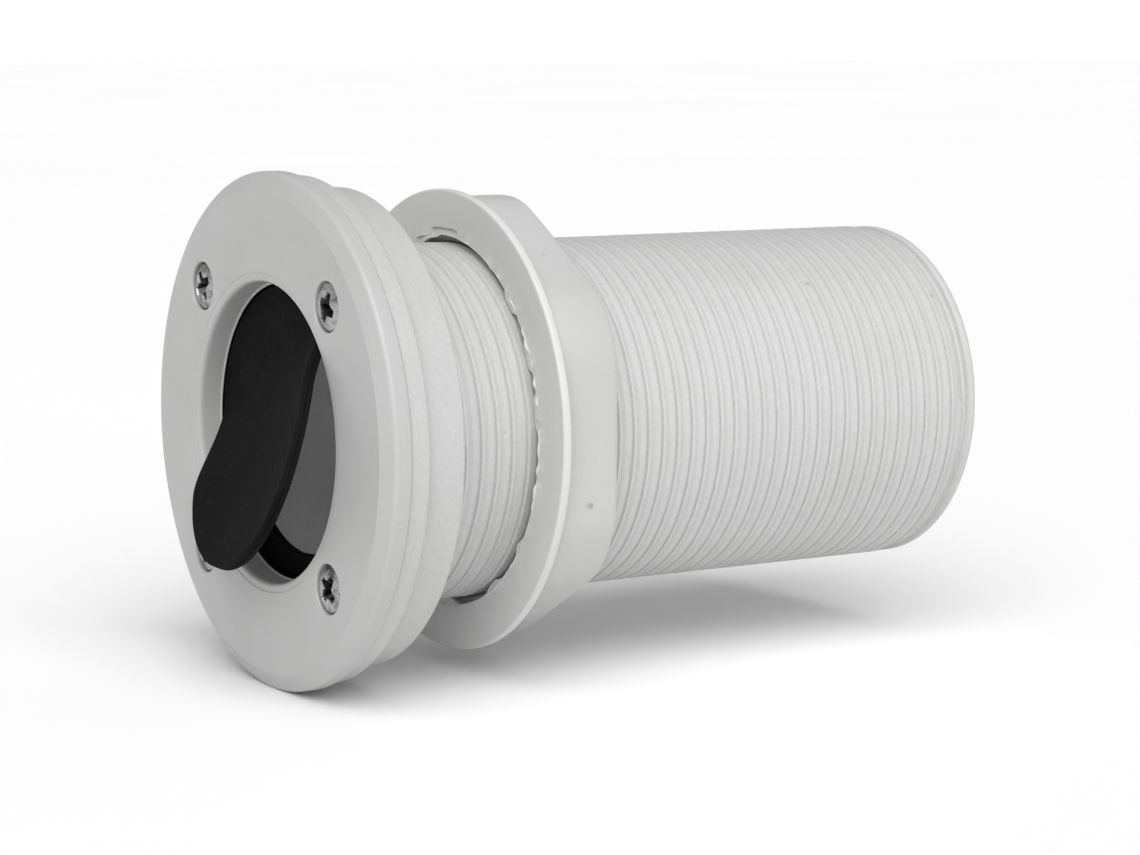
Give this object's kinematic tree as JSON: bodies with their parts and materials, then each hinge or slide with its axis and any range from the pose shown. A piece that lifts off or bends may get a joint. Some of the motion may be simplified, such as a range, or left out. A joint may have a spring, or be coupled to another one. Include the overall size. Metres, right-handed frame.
{
  "type": "thru hull fitting",
  "caption": "Flanged, threaded plastic drain fitting for a hull, with a rubber check flap behind a screwed cover ring, and a washer and hexagon nut that clamp it.",
  "frame": {"origin": "centre of the flange face that seals on the outside of the hull, on the shank's axis", "axes": "+Y along the shank from the flange to the tail, +Z midway between two of the cover screws, +X to the right seen from the front"},
  "size_m": [0.0678, 0.1074, 0.0678],
  "materials": {
    "white_plastic": "satin moulded",
    "black_rubber": "matte",
    "stainless": "plain"
  },
  "bodies": {
    "fitting": {"hull_body": "white_plastic", "cover_ring": "white_plastic", "valve_seat": "black_rubber", "screw_1": "stainless", "screw_2": "stainless", "screw_3": "stainless", "screw_4": "stainless"},
    "flap": {"flap": "black_rubber"},
    "washer": {"backing_washer": "white_plastic"},
    "nut": {"hex_nut": "white_plastic"}
  },
  "joints": [
    {"name": "flap_swing", "type": "hinge", "parent": "fitting", "child": "flap", "pos_m": [-0.005, -0.0079, 0.00866], "axis": [-0.866, 0, -0.5], "range_deg": [-22, 18], "stiffness_Nm_per_rad": 0.0005, "springref_deg": -22},
    {"name": "nut_travel", "type": "slide", "parent": "fitting", "child": "washer", "axis": [0, 1, 0], "range_m": [-0.01385, 0.06003]},
    {"name": "nut_turn", "type": "hinge", "parent": "washer", "child": "nut", "pos_m": [0, 0.0204, 0], "axis": [0, 1, 0], "range_deg": [-2160, 9360]}
  ],
  "couplings": [
    {"joint": "nut_turn", "follows": "nut_travel", "rad_per_m": 2721.2}
  ]
}
